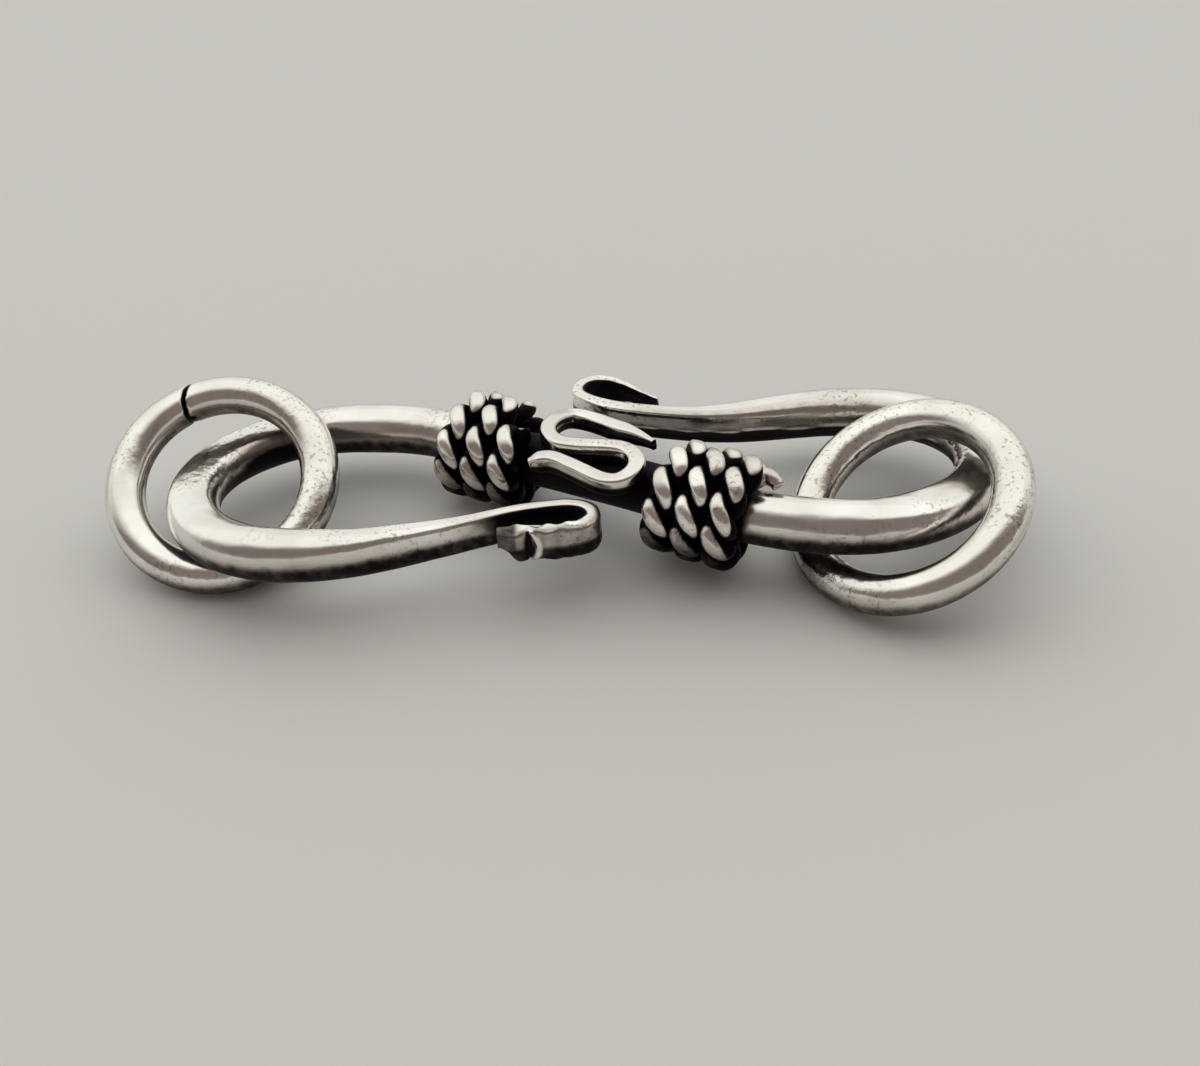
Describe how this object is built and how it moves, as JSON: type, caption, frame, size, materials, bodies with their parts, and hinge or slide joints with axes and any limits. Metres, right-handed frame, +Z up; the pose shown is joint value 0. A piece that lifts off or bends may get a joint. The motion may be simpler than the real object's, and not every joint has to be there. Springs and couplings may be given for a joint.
{
  "type": "s-hook clasp",
  "caption": "S-shaped wire hook clasp with rope wraps, a serpentine wire over the bar and a loose jump ring linked in each hook.",
  "frame": {"origin": "on the surface that the clasp lies on, under the middle of its whole outline", "axes": "+X along the clasp from the left hook to the right hook, +Y away from the viewer, +Z up from the surface it lies on"},
  "size_m": [0.0306, 0.0126, 0.0046],
  "materials": {
    "polished_silver": "polished",
    "oxidised_silver": "polished on the crests, dark between them",
    "ring_silver": "polished"
  },
  "bodies": {
    "hook": {"s_hook": "polished_silver", "left_wrap_strand_a": "oxidised_silver", "left_wrap_strand_b": "oxidised_silver", "right_wrap_strand_a": "oxidised_silver", "right_wrap_strand_b": "oxidised_silver", "serpentine_wire": "polished_silver"},
    "left_ring": {"left_ring": "ring_silver"},
    "right_ring": {"right_ring": "ring_silver"}
  },
  "joints": [
    {"name": "left_ring_swing", "type": "hinge", "parent": "hook", "child": "left_ring", "pos_m": [-0.01213, 0.00094, 0.00212], "axis": [1, 0, 0], "range_deg": [0, 105]},
    {"name": "right_ring_swing", "type": "hinge", "parent": "hook", "child": "right_ring", "pos_m": [0.01191, -0.00317, 0.00241], "axis": [0.3771, -0.9262, 0], "range_deg": [0, 110]}
  ]
}
